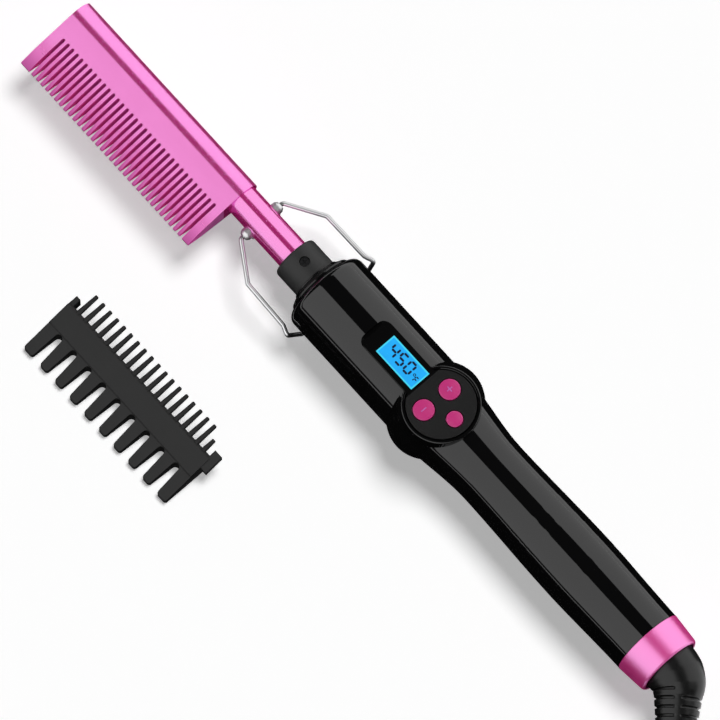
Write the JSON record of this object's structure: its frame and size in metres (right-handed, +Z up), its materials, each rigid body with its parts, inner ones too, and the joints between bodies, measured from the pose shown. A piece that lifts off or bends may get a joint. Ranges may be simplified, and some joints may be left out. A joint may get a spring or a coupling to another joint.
{
  "type": "electric hot comb",
  "caption": "Electric hot comb with a heated metal comb, temperature buttons and display, folding wire stand, clip-on comb and swivel cord.",
  "frame": {"origin": "on the surface the object lies on, under the middle of its bounding box without the free cord", "axes": "+X along the tool towards the comb's tip, +Y the way the comb's teeth point, +Z up out of the display"},
  "size_m": [0.5009, 0.1448, 0.0375],
  "materials": {
    "pink_aluminium": "pink anodised, satin",
    "pink_ring": "pink anodised, satin, turned",
    "heater_aluminium": "extruded, bare",
    "ceramic": "fired, matte",
    "polyimide": "amber film",
    "sensor_glass": "glass bead, gloss",
    "lead_sleeving": "white sleeving, matte",
    "bracket_steel": "bright plated",
    "chrome_wire": "bright plated",
    "collar_plastic": "fine matte",
    "screw_steel": "plain",
    "nose_plastic": "gloss black",
    "handle_plastic": "piano-black gloss",
    "bezel_plastic": "satin dark grey",
    "display_glass": "clear, backlit blue",
    "display_panel": "backlit blue",
    "holder_plastic": "natural white",
    "board": "green solder mask",
    "components": "moulded",
    "switch_case": "moulded",
    "switch_plunger": "moulded",
    "button_pink": "magenta pink, satin gloss",
    "swivel_plastic": "glass-filled, matte",
    "contact_brass": "plain",
    "cord_rubber": "satin black",
    "boot_rubber": "satin black",
    "tie_fabric": "woven hook and loop",
    "plug_rubber": "satin black",
    "clip_plastic": "fine matte"
  },
  "bodies": {
    "handle": {"comb_head": "pink_aluminium", "comb_tip_cap": "pink_aluminium", "barrel_tube": "pink_aluminium", "heater_block_upper": "heater_aluminium", "heater_block_lower": "heater_aluminium", "heater_ceramics": "ceramic", "heater_film": "polyimide", "temperature_sensor": "sensor_glass", "heater_leads": "lead_sleeving", "stand_bracket": "bracket_steel", "barrel_collar": "collar_plastic", "collar_screw": "screw_steel", "nose_ring": "nose_plastic", "handle_upper_shell": "handle_plastic", "handle_lower_shell": "handle_plastic", "shell_screws": "screw_steel", "control_bezel": "bezel_plastic", "display_window": "display_glass", "display_module": "display_panel", "display_holder": "holder_plastic", "control_board": "board", "board_components": "components", "board_screws": "screw_steel", "tact_switches": "switch_case", "end_ring": "pink_ring", "swivel_socket": "swivel_plastic", "brush_holder": "swivel_plastic", "brush_contacts": "contact_brass"},
    "stand": {"wire_stand": "chrome_wire"},
    "heat_up": {"heat_up_button": "button_pink", "heat_up_plunger": "switch_plunger"},
    "heat_down": {"heat_down_button": "button_pink", "heat_down_plunger": "switch_plunger"},
    "power": {"power_button": "button_pink", "power_plunger": "switch_plunger"},
    "cord_swivel": {"swivel_core": "swivel_plastic", "slip_rings": "contact_brass", "cord_boot": "boot_rubber", "power_cord": "cord_rubber", "cord_coil": "cord_rubber", "cord_tie": "tie_fabric", "cord_tail": "cord_rubber", "plug_body": "plug_rubber", "plug_blades": "contact_brass"},
    "attachment": {"comb_attachment": "clip_plastic"}
  },
  "joints": [
    {"name": "stand_fold", "type": "hinge", "parent": "handle", "child": "stand", "pos_m": [0.08184, -0.0365, 0.0195], "axis": [0, -1, 0], "range_deg": [0, 100]},
    {"name": "heat_up_press", "type": "slide", "parent": "handle", "child": "heat_up", "axis": [0, 0, -1], "range_m": [0, 0.0005], "stiffness_N_per_m": 800},
    {"name": "heat_down_press", "type": "slide", "parent": "handle", "child": "heat_down", "axis": [0, 0, -1], "range_m": [0, 0.0005], "stiffness_N_per_m": 800},
    {"name": "power_press", "type": "slide", "parent": "handle", "child": "power", "axis": [0, 0, -1], "range_m": [0, 0.0005], "stiffness_N_per_m": 800},
    {"name": "cord_swivel", "type": "hinge", "parent": "handle", "child": "cord_swivel", "pos_m": [-0.14286, -0.0365, 0.0195], "axis": [1, 0, 0], "continuous": true},
    {"name": "attachment_lift", "type": "slide", "parent": "handle", "child": "attachment", "axis": [0, 0, 1], "range_m": [0, 0.06]}
  ]
}
